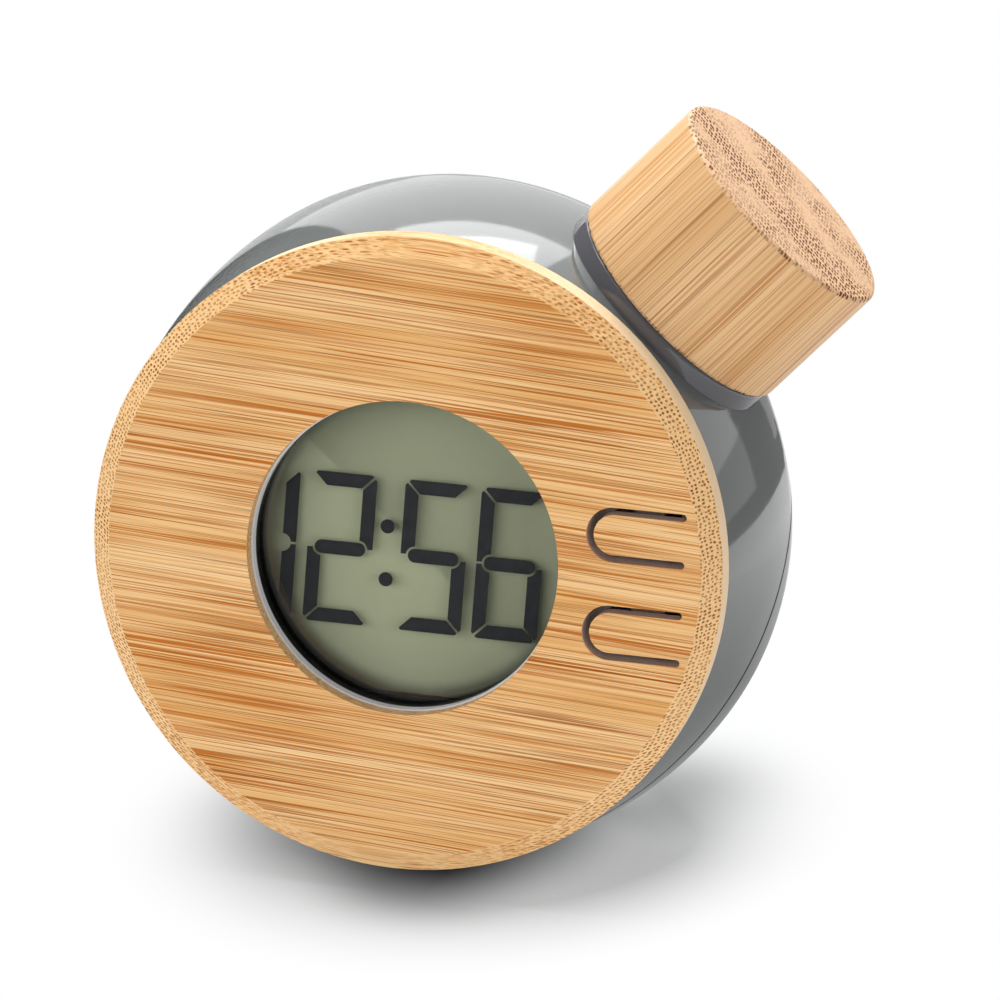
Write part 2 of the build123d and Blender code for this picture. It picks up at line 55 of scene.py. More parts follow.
# %% The leaning face
LEAN = math.radians(8.5)
FACE_MIDDLE = np.array([0.0, -19.5, 42.5006])
ACROSS = np.array([1.0, 0.0, 0.0])
UP_FACE = np.array([0.0, math.sin(LEAN), math.cos(LEAN)])
INTO_FACE = np.array([0.0, math.cos(LEAN), -math.sin(LEAN)])


def on_face(u, v, d):
    """Place in metres: the face's middle plus u across, v up the face and d into it, given in mm."""
    u, v, d = np.broadcast_arrays(u, v, d)
    place = FACE_MIDDLE + u[..., None] * ACROSS + v[..., None] * UP_FACE + d[..., None] * INTO_FACE
    return place / 1000


print("middle of the face, in metres", on_face(0.0, 0.0, 0.0))

# %% [markdown]
# The picture was taken with a long lens from a little to the right and above. A camera is placed by
# its direction and its distance from the middle of the face. The face isn't in the middle of the
# picture, so the lens is shifted instead of turned, which keeps the upright lines as they are.

# %% Where the camera stands
CAMERA_AZIMUTH = math.radians(15.3)
CAMERA_HEIGHT = math.radians(22.5)
CAMERA_DISTANCE = 0.820

towards_camera = np.array([
    math.sin(CAMERA_AZIMUTH) * math.cos(CAMERA_HEIGHT),
    -math.cos(CAMERA_AZIMUTH) * math.cos(CAMERA_HEIGHT),
    math.sin(CAMERA_HEIGHT),
])
picture_right = np.array([math.cos(CAMERA_AZIMUTH), math.sin(CAMERA_AZIMUTH), 0.0])
picture_up = np.cross(towards_camera, picture_right)
stand_at = FACE_MIDDLE / 1000 + CAMERA_DISTANCE * towards_camera
print("camera at", stand_at.round(3))

# %% The long lens
PICTURE = 1000
FOCAL_PIXELS = 6684
FACE_IN_PICTURE = (401.4, 559.1)

lens = bpy.data.cameras.new("long_lens")
lens.sensor_width = 36
lens.lens = FOCAL_PIXELS * lens.sensor_width / PICTURE
lens.shift_x = (PICTURE / 2 - FACE_IN_PICTURE[0]) / PICTURE
lens.shift_y = (FACE_IN_PICTURE[1] - PICTURE / 2) / PICTURE
lens.clip_start, lens.clip_end = 0.05, 20
camera = bpy.data.objects.new("camera", lens)
turn = np.eye(4)
turn[:3] = np.stack([picture_right, picture_up, towards_camera, stand_at], axis=1)
camera.matrix_world = Matrix(turn.tolist())
bpy.context.collection.objects.link(camera)
bpy.context.scene.camera = camera
print("lens of", round(lens.lens, 1), "mm")

# %% [markdown]
# Every finish is a small graph of nodes. A few helpers keep the cells short. One turns a colour as it
# is seen on screen into the linear light that a shader works with, and one adds a node with its
# settings and links. A node's inputs are fed in the order in which its panel shows them.

# %% Colours as the eye sees them


def seen(hex_colour):
    """sRGB hex to linear RGBA: x / 12.92 in the darks, ((x + 0.055) / 1.055) ** 2.4 above them."""
    part = np.array([int(hex_colour[i:i + 2], 16) for i in (1, 3, 5)]) / 255
    linear = np.where(part <= 0.04045, part / 12.92, ((part + 0.055) / 1.055) ** 2.4)
    return (*linear.tolist(), 1.0)


print("middle grey is", np.round(seen("#808080")[:3], 3))

# %% Nodes and their links
SMOOTH = {"interpolation_type": "SMOOTHSTEP"}
COLOUR = {"data_type": "RGBA"}
IN_FRAME = {"vector_type": "TEXTURE"}
MINUS, TIMES, OVER, TIMES_PLUS = (
    {"operation": name} for name in ("SUBTRACT", "MULTIPLY", "DIVIDE", "MULTIPLY_ADD"))
LARGER, ABOVE, BELOW, NEAR = (
    {"operation": name} for name in ("MAXIMUM", "GREATER_THAN", "LESS_THAN", "COMPARE"))
UNSIGNED, LENGTH, DISTANCE, DOT = (
    {"operation": name} for name in ("ABSOLUTE", "LENGTH", "DISTANCE", "DOT_PRODUCT"))


def feed(tree, socket, value):
    """Sets an input to a value, or links it to a socket or to the first output of a node."""
    if isinstance(value, bpy.types.Node):
        value = next(output for output in value.outputs if output.enabled)
    if isinstance(value, bpy.types.NodeSocket):
        tree.links.new(value, socket)
    else:
        socket.default_value = value


def add(tree, kind, settings=None, *feeds, **named):
    """Adds a node with its settings, then feeds its inputs in their order and by their names."""
    node = tree.nodes.new("ShaderNode" + kind)
    for name, value in (settings or {}).items():
        setattr(node, name, value)
    used = [socket for socket in node.inputs if socket.enabled]
    for socket, value in zip(used, feeds):
        feed(tree, socket, value)
    for name, value in named.items():
        feed(tree, next(socket for socket in used if socket.name == name.replace("_", " ")), value)
    return node


print("helpers for nodes are ready")

# %% Materials and what wears them


def finish(name, **even):
    """A new material, its tree and its Principled shader, with the shader's even values by name."""
    material = bpy.data.materials.new(name)
    material.use_nodes = True
    shader = material.node_tree.nodes["Principled BSDF"]
    for key, value in even.items():
        shader.inputs[key.replace("_", " ")].default_value = value
    return material, material.node_tree, shader


def dress(material, *names):
    """Gives each named solid the finish, in all of its slots."""
    for name in names:
        for place in nodes[name].material_slots:
            place.material = material
    print(material.name, "on", len(names), "solids")


# %% [markdown]
# Patterns are laid out in millimetres of the object itself, so that they stay the same at any size of
# picture. This helper turns Blender's object coordinates into millimetres from a chosen middle, with
# one axis along a chosen direction, such as the grain of the wood.

# %% Millimetres in a chosen direction


def turned(tree, middle, along, out):
    """Object coordinates in mm from the middle, turned so that x runs along and z points out."""
    place = add(tree, "TexCoord")
    ways = Matrix(np.stack([along, np.cross(out, along), out], axis=1).tolist())
    return add(tree, "Mapping", IN_FRAME, place.outputs["Object"], tuple(middle / 1000),
               ways.to_euler("XYZ"), (0.001,) * 3)


NECK_ANGLE = math.radians(47.3)
NECK_DEPTH = 22.0
neck_way = math.cos(NECK_ANGLE) * ACROSS + math.sin(NECK_ANGLE) * UP_FACE
neck_foot = FACE_MIDDLE + NECK_DEPTH * INTO_FACE
print("the neck points along", neck_way.round(3))

# %% [markdown]
# The clock stands on a white paper sweep under soft light. Paper that is lit a little less than fully
# would print grey, so further out it goes over to plain white, while the part around the clock stays
# real paper and keeps the shadow, with painted shadow and painted light added to it below.

# %% A grid over two parameters


def sheet(name, across, along, surface):
    """A grid over two parameters: surface(a, b) gives x, y, z for every pair, neighbours make quads."""
    a, b = np.meshgrid(across, along, indexing="ij")
    points = np.stack(surface(a, b), axis=-1).reshape(-1, 3)
    row, column = np.meshgrid(np.arange(len(across) - 1), np.arange(len(along) - 1), indexing="ij")
    corner = (row * len(along) + column).ravel()
    quads = np.stack([corner, corner + len(along), corner + len(along) + 1, corner + 1], axis=1)
    mesh = bpy.data.meshes.new(name)
    mesh.from_pydata(points.tolist(), [], quads.tolist())
    piece = bpy.data.objects.new(name, mesh)
    bpy.context.collection.objects.link(piece)
    print(name, "has", len(quads), "faces")
    return piece


# %% Paper sweep
FLOOR_HALF = 3.0

sides = np.linspace(-FLOOR_HALF, FLOOR_HALF, 5)
floor = sheet("floor", sides, sides, lambda x, y: (x, y, 0 * x))
paper, tree, shader = finish("white_paper_sweep", Roughness=0.9, Specular_IOR_Level=0.0)
floor.data.materials.append(paper)
ray = add(tree, "LightPath")
place = add(tree, "TexCoord").outputs["Object"]

# %% [markdown]
# Hardly any light gets under a thing that touches the paper, and soft lamps alone leave that place too
# grey. So a shadow is painted into what the eye sees of the paper, round two places, in metres on the
# floor: under the lower edge of the face, and behind the drum on the right. Light that bounces off the
# paper doesn't know of this painted shadow, so the clock itself looks the same. As the eye sees it, the
# paper is also a faint blue white, which offsets the warm light that the wood throws on it.

# %% Paper under the clock
CONTACT, CONTACT_FROM, CONTACT_TO, CONTACT_TONE = (0.0032, -0.0226, 0.0), 0.0032, 0.0174, 0.05
BEHIND, BEHIND_TO, BEHIND_TONE = (0.0303, 0.0165, 0.0), 0.0205, 0.46

# painted shadow: the paper's colour turns dark near the contact point and behind the drum
painted_contact_shadow = add(tree, "VectorMath", DISTANCE, place, CONTACT)
painted_contact_shadow = add(tree, "MapRange", SMOOTH, painted_contact_shadow, CONTACT_FROM, CONTACT_TO, CONTACT_TONE, 1.0)
behind = add(tree, "VectorMath", DISTANCE, place, BEHIND)
behind = add(tree, "MapRange", SMOOTH, behind, 0.0, BEHIND_TO)
dim = add(tree, "MapRange", None, behind, 0.0, 1.0, BEHIND_TONE, 1.0)
painted_contact_shadow = add(tree, "Math", TIMES, painted_contact_shadow, dim)
tone = add(tree, "Mix", COLOUR, painted_contact_shadow, (0, 0, 0, 1), seen("#fdfeff"))
tone = add(tree, "Mix", COLOUR, ray.outputs["Is Camera Ray"], seen("#e6e6e6"), tone)
feed(tree, shader.inputs["Base Color"], tone)
print("the paper is darkest at", CONTACT[:2])

# %% [markdown]
# Further out the paper turns white, along an ellipse that follows the shadow, so the shadow's soft
# outer fade is painted light. A second, round step paints the shadow's own edge lighter, which would
# otherwise show as a line in front on the right.

# %% Paper that turns white
SHADOW_MIDDLE, SHADOW_REACH = (0.0059, 0.0024, 0.0), (0.0361, 0.0436, 1.0)
SHADOW_TURN = (0.0, 0.0, math.radians(-29.4))
WHITE_FROM, WHITE_TO = 0.409, 1.263
STEP_MIDDLE, STEP_FROM, STEP_TO, STEP_WHITE = (-0.0042, -0.0032, 0.0), 0.0152, 0.0305, 0.37

# painted light: the white blend follows the shadow's ellipse, so it paints the shadow's outer fade
away = add(tree, "Mapping", IN_FRAME, place, SHADOW_MIDDLE, SHADOW_TURN, SHADOW_REACH)
away = add(tree, "VectorMath", LENGTH, away)
far = add(tree, "MapRange", SMOOTH, away, WHITE_FROM, WHITE_TO)
# painted light: a round step lifts the shadow's edge in front on the right
step = add(tree, "VectorMath", DISTANCE, place, STEP_MIDDLE)
step = add(tree, "MapRange", SMOOTH, step, STEP_FROM, STEP_TO, 0.0, STEP_WHITE)
step = add(tree, "Math", TIMES, step, behind)
far = add(tree, "Math", LARGER, far, step)
far = add(tree, "Math", LARGER, far, ray.outputs["Is Glossy Ray"])
print("the paper is white beyond", WHITE_TO, "times the shadow's reach")

# %% Paper in reflections
# The glossy drum mirrors the paper, and there the paper is a glow whose light and shade are painted:
# dim close to the clock, brightest a hand's width away and dimmer again far out, as paper under
# softboxes is. Distances count the shadow's reach as one.
NEAR_FROM, NEAR_TO, NEAR_DIM, NEAR_BRIGHT = 1.2, 3.2, 0.35, 1.4
FAR_FROM, FAR_TO, FAR_DIM = 4.5, 7.0, 0.5

# painted reflection: the paper's glow for glossy rays is dimmed near the clock and far out
near_shade = add(tree, "MapRange", None, away, NEAR_FROM, NEAR_TO, NEAR_DIM, NEAR_BRIGHT)
far_shade = add(tree, "MapRange", None, away, FAR_FROM, FAR_TO, 1.0, FAR_DIM)
shade = add(tree, "Math", TIMES, near_shade, far_shade)
white = add(tree, "Mix", None, ray.outputs["Is Glossy Ray"], 1.0, shade)
glow = add(tree, "Emission", None, (1, 1, 1, 1), white)
sweep = add(tree, "MixShader", None, far, shader, glow)
feed(tree, tree.nodes["Material Output"].inputs["Surface"], sweep)
print("in reflections the paper's light goes from", NEAR_DIM, "to", NEAR_BRIGHT)

# %% [markdown]
# The room is pale too. It lights the clock a little from all sides, is white to the camera and through
# glass, and brighter than white in reflections, so that the plastic's gloss shows.

# %% Pale room
ROOM_LIGHT, BACKDROP = 0.24, 1.4

world = bpy.data.worlds.new("pale_room")
bpy.context.scene.world = world
world.use_nodes = True
tree = world.node_tree
ray = add(tree, "LightPath")
straight = [ray.outputs["Is Camera Ray"], ray.outputs["Is Transmission Ray"]]
direct = add(tree, "Math", LARGER, *straight)
level = add(tree, "Mix", None, ray.outputs["Is Glossy Ray"], ROOM_LIGHT, BACKDROP)
level = add(tree, "Mix", None, direct, level, 1.0)
sky = tree.nodes["Background"]
sky.inputs["Color"].default_value = (1, 1, 1, 1)
feed(tree, sky.inputs["Strength"], level)
bpy.context.scene.view_settings.view_transform = "Standard"
print("room light", ROOM_LIGHT, "on the object,", BACKDROP, "in reflections and 1 to the eye")

# %% [markdown]
# A softbox is an area lamp. Each is given by its direction from the clock, like a place on a map of
# the sky: azimuth from the front towards the right, and height above the floor. Two stand behind the
# clock and light the paper as well. The two in front only fill the shade on the clock, so reflections
# leave them out. They are also linked to the clock alone, as if cards kept them off the paper, so that
# they can't thin out its shadow.

# %% Softboxes
fill_lit = bpy.data.collections.new("lit_by_the_fills")
for piece in nodes.values():
    fill_lit.objects.link(piece)


def softbox(name, azimuth, height, distance, width, tall, brightness, paper=False, reflected=False):
    """Area lamp that faces the clock. Its watts are pi times its area times the brightness wanted."""
    a, e = math.radians(azimuth), math.radians(height)
    way = np.array([math.sin(a) * math.cos(e), -math.cos(a) * math.cos(e), math.sin(e)])
    right = np.array([math.cos(a), math.sin(a), 0.0])
    data = bpy.data.lights.new(name, "AREA")
    data.shape = "RECTANGLE"
    data.size, data.size_y = width, tall
    data.energy = math.pi * width * tall * brightness
    lamp = bpy.data.objects.new(name, data)
    turn = np.eye(4)
    turn[:3] = np.stack([right, np.cross(way, right), way, FACE_MIDDLE / 1000 + distance * way], axis=1)
    lamp.matrix_world = Matrix(turn.tolist())
    lamp.visible_glossy = reflected
    if not paper:
        lamp.light_linking.receiver_collection = fill_lit
    bpy.context.collection.objects.link(lamp)
    print(name, round(data.energy, 2), "W")


softbox("top_softbox", -155, 62, 0.8, 0.8, 0.7, 3.7, paper=True, reflected=True)
softbox("rear_softbox", -174, 37, 1.2, 0.60, 0.26, 3.2, paper=True, reflected=True)
softbox("front_fill", -36, 13, 1.3, 1.6, 0.8, 2.15)
softbox("right_fill", 55, 12, 1.3, 0.8, 0.8, 1.9)

# %% [markdown]
# Glossy plastic looks glossy only when it has something dark to show beside the white. A studio uses
# flags for that: dark cards around the set. Here they are three curved cards, a wide one round the
# front, a narrow one behind on the right, and a low one at the paper's edge. They are left out of
# everything but reflections.

# %% Dark flags
FLAG_RADIUS, FLAG_LIFT = 0.20, 0.0005
# Where each flag starts and stops round the clock, in degrees, then its height in metres and its grey.
FLAGS = {
    "front_flag": (-148, 106, 0.45, "#484848"),
    "narrow_flag": (136, 150, 0.45, "#a0a0a0"),
    "low_flag": (106, 158, 0.017, "#a0a0a0"),
}

for name, (start, stop, tall, tone) in FLAGS.items():
    card, tree, shader = finish(name + "_card", Base_Color=seen(tone), Roughness=1.0,
                                Specular_IOR_Level=0.0)
    flag = sheet(name, np.radians(np.linspace(start, stop, 60)), np.array([0.0, tall]),
                 lambda a, z: (FLAG_RADIUS * np.sin(a), -FLAG_RADIUS * np.cos(a), z + FLAG_LIFT))
    flag.data.materials.append(card)
    flag.visible_camera = flag.visible_diffuse = flag.visible_shadow = False

# %% [markdown]
# Bamboo board is strips of the grass's stem glued side by side, planed and sealed with a matt oil.
# Its dark fibre bundles run all along the grain. Cut along the grain they show as thin orange-brown
# streaks, and cut across it as brown dots in staggered rows. So the finish is a solid pattern: a
# flat lattice of dots, carried along the grain and gently bent, and whichever way the tool cut the
# wood decides what is seen. That gives streaks on the face and dots on its bevel with no seam.

# %% Fibres between the bundles
# Each kind of fibre by its length and width in mm, and the detail of its noise. Single fibres are about
# 0.02 mm wide, too fine for the picture, so the finest kinds are drawn some 0.15 mm wide.
FIBRES = {
    "wander": (75.0, 4.0, 1.0), "band": (150.0, 5.0, 2.0), "broad": (80.0, 3.6, 3.0),
    "fade": (24.0, 0.8, 1.0), "bright": (22.0, 0.13, 2.0), "fine": (34.0, 0.17, 1.0),
    "thin": (52.0, 0.30, 1.0), "hair": (34.0, 0.14, 1.0), "speck": (0.5, 0.35, 2.0),
    "fine_crowd": (60.0, 2.2, 2.0), "thin_crowd": (70.0, 2.6, 2.0),
}


def fibres(tree, solid):
    """Noise for each kind of fibre: millimetres divided by its length along x and its width across."""
    layers = {}
    for name, (length, width, detail) in FIBRES.items():
        squeezed = add(tree, "VectorMath", OVER, solid, (length, width, width))
        layers[name] = add(tree, "TexNoise", None, squeezed, 1.0, detail)
    return layers


print(len(FIBRES), "kinds of fibre")

# %% Bundles of dark fibre


def bundles(tree, solid, layers, look):
    """A lattice of cells over y and z, every second row moved by half a cell, bent slowly along x.

    Gives the distance from the nearest bundle's middle, in cells, and three random numbers for it."""
    slow = add(tree, "VectorMath", MINUS, layers["wander"].outputs["Color"], (0.5, 0.5, 0.5))
    bent = add(tree, "VectorMath", TIMES_PLUS, slow, (0.0, look["bend"], look["dive"]), solid)
    parts = add(tree, "SeparateXYZ", None, bent)
    row = add(tree, "Math", OVER, parts.outputs["Z"], look["row"])
    column = add(tree, "Math", OVER, parts.outputs["Y"], look["column"])
    column = add(tree, "Math", TIMES_PLUS, row, 0.5, column)
    spot = add(tree, "CombineXYZ", None, column, row)
    cell = add(tree, "TexVoronoi", {"voronoi_dimensions": "2D"}, spot, Scale=1.0, Randomness=look["jitter"])
    chance = add(tree, "SeparateColor", None, cell.outputs["Color"])
    return cell.outputs["Distance"], chance.outputs


# A strip's edges sway by up to this many mm, and blur over this many on either side.
STRIP_SWAY, STRIP_BLUR = 3.0, 0.6


def crowds(tree, solid, layers, look):
    """How many bundles show: slow noise over a board's width, and in a rod the strips it is glued from.

    A strip is given by its middle and half its width in mm along z, and by its share of bundles."""
    board = add(tree, "MapRange", SMOOTH, layers["band"], 0.35, 0.65, look["sparse"], 1.0)
    ends = add(tree, "MapRange", SMOOTH, layers["band"], 0.35, 0.65, look["dot_sparse"], 1.0)
    parts = add(tree, "SeparateXYZ", None, solid)
    level = add(tree, "Math", TIMES_PLUS, parts.outputs["Y"], look["strip_slope"], parts.outputs["Z"])
    level = add(tree, "Math", TIMES_PLUS, layers["band"], STRIP_SWAY, level)
    for middle, half, share in look["strips"]:
        away = add(tree, "Math", MINUS, level, middle + STRIP_SWAY / 2)
        away = add(tree, "Math", UNSIGNED, away)
        strip = add(tree, "MapRange", SMOOTH, away, half + STRIP_BLUR, half - STRIP_BLUR, 0.0, share)
        ends = add(tree, "Math", LARGER, ends, strip)
    return board, ends


print("bundles are cells of a flat lattice")

# %% Streaks and dots


def cut_bundles(tree, solid, layers, across, look):
    """Streaks where the wood is cut along the grain, dots where it is cut across, and their colour.

    Each is dark where its own radius exceeds the distance from the bundle's middle."""
    distance, chance = bundles(tree, solid, layers, look)
    board, ends = crowds(tree, solid, layers, look)
    thinnest, thickest = look["streak"] * 0.5, look["streak"] * 1.3
    radius = add(tree, "MapRange", None, chance["Green"], 0.0, 1.0, thinnest, thickest)
    inside = add(tree, "Math", MINUS, radius, distance)
    streak = add(tree, "MapRange", SMOOTH, inside, -0.05, 0.09)
    strength = add(tree, "MapRange", SMOOTH, chance["Red"], 0.0, 0.8, 0.3, 1.0)
    fade = add(tree, "MapRange", SMOOTH, layers["fade"], 0.30, 0.55, 0.2, 1.0)
    for share in (strength, fade, board):
        streak = add(tree, "Math", TIMES, streak, share)
    smallest, largest = look["dot"] * 0.8, look["dot"] * 1.15
    radius = add(tree, "MapRange", None, chance["Green"], 0.0, 1.0, smallest, largest)
    inside = add(tree, "Math", MINUS, radius, distance)
    dot = add(tree, "MapRange", SMOOTH, inside, -0.06, 0.10)
    dot = add(tree, "Math", TIMES, dot, ends)
    bundle = add(tree, "Mix", None, across, streak, dot)
    pore = add(tree, "Mix", COLOUR, chance["Blue"], seen(look["streak_colour"]), seen(look["streak_deep"]))
    pore = add(tree, "Mix", COLOUR, across, pore, seen(look["dot_colour"]))
    return bundle, pore


print("one bundle gives a streak or a dot")

# %% [markdown]
# The two keys are sawn out of the board with a fine hot blade, which scorches the walls of the cut to a
# violet brown. Here that brown is painted much paler than real, and paler still further down, as
# painted light, so that the narrow cut doesn't go black in its own shade. A pale line painted along the
# top of each wall is a painted highlight on its edge. The outer edge is only planed; its end grain is
# painted the palest of all, partly as paler wood and partly as a painted highlight on the rim. Walls
# are told from the face by their direction, and inner walls from the outer one by their distance from
# the middle.

# %% Scorched and planed walls, with painted light
PAINTED_LIGHT_DEPTH = 2.4
PLANED_AND_HIGHLIGHT_SHARE = 0.85


def scorch(tree, solid, layers, colour, upright, across, reach_mm):
    """Mixes a scorched colour, painted paler with depth as painted light and with a painted highlight at
    the top, into steep walls whose distance from the middle lies in the reach, given as its middle and
    half its width, and a pale one, partly a painted highlight, into the end grain of steep walls beyond it."""
    parts = add(tree, "SeparateXYZ", None, solid)
    plane = add(tree, "CombineXYZ", None, parts.outputs["X"], parts.outputs["Y"])
    reach = add(tree, "VectorMath", LENGTH, plane)
    sawn = add(tree, "Math", NEAR, reach, *reach_mm)
    steep = add(tree, "MapRange", SMOOTH, upright, 0.75, 0.4)
    ragged = add(tree, "Math", TIMES_PLUS, layers["speck"], 0.5, parts.outputs["Z"])
    deep = add(tree, "MapRange", SMOOTH, ragged, 0.0, -PAINTED_LIGHT_DEPTH)
    # painted light: the scorched colour is pale, and deeper down nearly white
    soot_and_painted_light = add(tree, "Mix", COLOUR, deep, seen("#dca794"), seen("#fbe3d8"))
    # painted highlight: a pale line along the top of each wall
    painted_edge_highlight = add(tree, "MapRange", SMOOTH, ragged, -0.15, 0.1)
    soot_and_painted_light = add(tree, "Mix", COLOUR, painted_edge_highlight, soot_and_painted_light, seen("#f4d3a4"))
    wall = add(tree, "Math", TIMES, steep, sawn)
    colour = add(tree, "Mix", COLOUR, wall, colour, soot_and_painted_light)
    # painted highlight: the planed end grain is pale, partly as wood and partly as light on the rim
    planed_and_painted_rim = add(tree, "Math", ABOVE, reach, sum(reach_mm))
    for share in (steep, across, PLANED_AND_HIGHLIGHT_SHARE):
        planed_and_painted_rim = add(tree, "Math", TIMES, planed_and_painted_rim, share)
    return add(tree, "Mix", COLOUR, planed_and_painted_rim, colour, seen("#f6d8b0"))


# painted light: below this depth the walls are painted fully pale
print("cut walls are scorched down to", PAINTED_LIGHT_DEPTH, "mm")

# %% [markdown]
# Between the bundles the wood is pale and a little uneven. Broad noise shifts its tone, and layers of
# long thin fibres are mixed in one after the other, each with its own colour. Where a cut goes across
# the grain these fibres are seen end on, so hardly any of them are left there.

# %% Wood between the bundles
# A layer's fibres begin to show at the first level of its noise, and show fully at the second.
LAYERS = (("bright", 0.55, 0.70), ("fine", 0.53, 0.60), ("thin", 0.55, 0.60), ("hair", 0.57, 0.65))
FIBRES_END_ON = 0.15


def ground(tree, layers, across, upright, look):
    """Mixes pale and deep by broad noise, then the end colour by how far a cut goes across the grain
    or is sanded at a slope, then each layer by its noise times its crowd, and specks on end grain."""
    broad = add(tree, "MapRange", SMOOTH, layers["broad"], 0.32, 0.68)
    colour = add(tree, "Mix", COLOUR, broad, seen(look["pale"]), seen(look["deep"]))
    sanded = add(tree, "MapRange", SMOOTH, upright, 0.97, 0.90, 0.0, look["sanded"])
    ends = add(tree, "Math", LARGER, across, sanded)
    colour = add(tree, "Mix", COLOUR, ends, colour, seen(look["end"]))
    lengthways = add(tree, "MapRange", None, ends, 0.0, 1.0, 1.0, FIBRES_END_ON)
    for layer, low, high in LAYERS:
        amount = add(tree, "MapRange", SMOOTH, layers[layer], low, high, 0.0, look[layer + "_amount"])
        if layer + "_crowd" in layers:
            crowd = add(tree, "MapRange", SMOOTH, layers[layer + "_crowd"], 0.35, 0.60, 0.3, 1.0)
            amount = add(tree, "Math", TIMES, amount, crowd)
        amount = add(tree, "Math", TIMES, amount, lengthways)
        colour = add(tree, "Mix", COLOUR, amount, colour, seen(look[layer]))
    speck = add(tree, "MapRange", SMOOTH, layers["speck"], 0.55, 0.66, 0.0, look["speck_amount"])
    speck = add(tree, "Math", TIMES, speck, across)
    return add(tree, "Mix", COLOUR, speck, colour, seen(look["hair"]))


print(len(LAYERS), "layers of fibres between the bundles")

# %% [markdown]
# The oil seals the dense wood to a soft sheen, but the open bundles drink it, so they are rougher,
# reflect less and lie a few hundredths of a millimetre lower. The eye reads that as a dry, sanded wood.

# %% Oiled surface
BUNDLE_DEPTH = 0.04


def oiled(tree, shader, bundle, oil):
    """Gloss, mirror share, oil coat and height all go from the wood's value to the bundle's."""
    for socket, wood, open_bundle in (("Roughness", 0.48, 0.62), ("Specular IOR Level", 0.3, 0.1),
                                      ("Coat Weight", oil, 0.0)):
        feed(tree, shader.inputs[socket], add(tree, "MapRange", None, bundle, 0.0, 1.0, wood, open_bundle))
    lower = add(tree, "Math", MINUS, 1.0, bundle)
    relief = add(tree, "Bump", None, Strength=0.2, Distance=BUNDLE_DEPTH / 1000, Height=lower)
    feed(tree, shader.inputs["Normal"], relief)


print("bundles lie", BUNDLE_DEPTH, "mm lower")

# %% Bamboo as a solid pattern
# Light that has bounced off the wood is greyed, or the paper and the plastic beside it turn orange.
BOUNCE_GREY, BOUNCE_SHARE = "#b3b2b1", 0.9
BUNDLE_DARK = 0.95


def bamboo(name, middle, along, out, look):
    """Solid wood: x runs along the grain, y across it and z outwards, in mm from the middle.

    A surface counts as cut across the grain by how squarely it faces along it."""
    material, tree, shader = finish(name, IOR=1.48, Coat_Roughness=0.35)
    solid = turned(tree, middle, along, out)
    layers = fibres(tree, solid)
    normal = add(tree, "TexCoord").outputs["Normal"]
    slopes = [add(tree, "VectorMath", DOT, normal, tuple(way)) for way in (along, out)]
    lengthwise, upright = [add(tree, "Math", UNSIGNED, slope) for slope in slopes]
    across = add(tree, "MapRange", SMOOTH, lengthwise, 0.10, 0.45)
    colour = ground(tree, layers, across, upright, look)
    bundle, pore = cut_bundles(tree, solid, layers, across, look)
    dark = add(tree, "Math", TIMES, bundle, BUNDLE_DARK)
    colour = add(tree, "Mix", COLOUR, dark, colour, pore)
    if look["scorched"]:
        colour = scorch(tree, solid, layers, colour, upright, across, look["scorched"])
    bounced = add(tree, "Math", TIMES, add(tree, "LightPath").outputs["Is Diffuse Ray"], BOUNCE_SHARE)
    colour = add(tree, "Mix", COLOUR, bounced, colour, seen(BOUNCE_GREY))
    feed(tree, shader.inputs["Base Color"], colour)
    oiled(tree, shader, bundle, look["oil"])
    print(name, "has", len(tree.nodes), "nodes")
    return material


# %% Bamboo board of the face
GRAIN_TILT = math.radians(3.25)

face_grain = math.cos(GRAIN_TILT) * ACROSS - math.sin(GRAIN_TILT) * UP_FACE
# Sizes are in mm, radii of streaks and dots in cells of the lattice, amounts go from 0 to 1.
face_look = dict(
    bend=0.5, dive=0.8, row=0.28, column=0.48, jitter=0.42, sparse=0.4, dot_sparse=0.7,
    strips=(), strip_slope=0.0, streak=0.27, dot=0.29, sanded=0.6, oil=0.0, scorched=(30.3, 8.3),
    bright_amount=0.5, fine_amount=0.85, thin_amount=1.0, hair_amount=0.75, speck_amount=0.25,
    pale="#f5cb92", deep="#e6b06c", end="#f6ca90",
    bright="#fde0b0", fine="#cf8a40", thin="#c2701f", hair="#95602c",
    streak_colour="#c26a1a", streak_deep="#9a4c14", dot_colour="#7a3a00")
face_bamboo = bamboo("oiled_bamboo_board", FACE_MIDDLE, face_grain, -INTO_FACE, face_look)
dress(face_bamboo, "front_panel", "upper_key", "lower_key")

# %% [markdown]
# The cap is turned from a rod of the same bamboo, with the grain along the rod. Its side shows a few
# fine lines, and its top is all end grain: the rod is glued from strips, and each strip's outer skin
# is crowded with bundles, which makes dark bands of dots across the top.

# %% Bamboo rod of the cap
cap_look = dict(
    face_look, bend=0.3, dive=0.25, row=1.05, column=0.50, jitter=0.5, sparse=0.35, dot_sparse=0.0,
    strips=((4.6, 2.5, 1.0), (0.8, 2.4, 0.4), (-9.5, 2.6, 0.35), (15.0, 2.0, 0.45)), strip_slope=0.27,
    streak=0.22, dot=0.37, sanded=0.0, oil=0.15, scorched=None,
    fine_amount=0.35, thin_amount=0.45, hair_amount=0.6, speck_amount=0.5,
    pale="#e9bf8d", deep="#daac77", end="#e1b68b",
    bright="#f2d3aa", fine="#cc9656", thin="#bd7a3a", hair="#93602f",
    streak_colour="#b8691f", streak_deep="#8e4a14", dot_colour="#5e2c00")
cap_bamboo = bamboo("oiled_bamboo_rod", neck_foot, neck_way, -INTO_FACE, cap_look)
dress(cap_bamboo, "cap_bamboo")

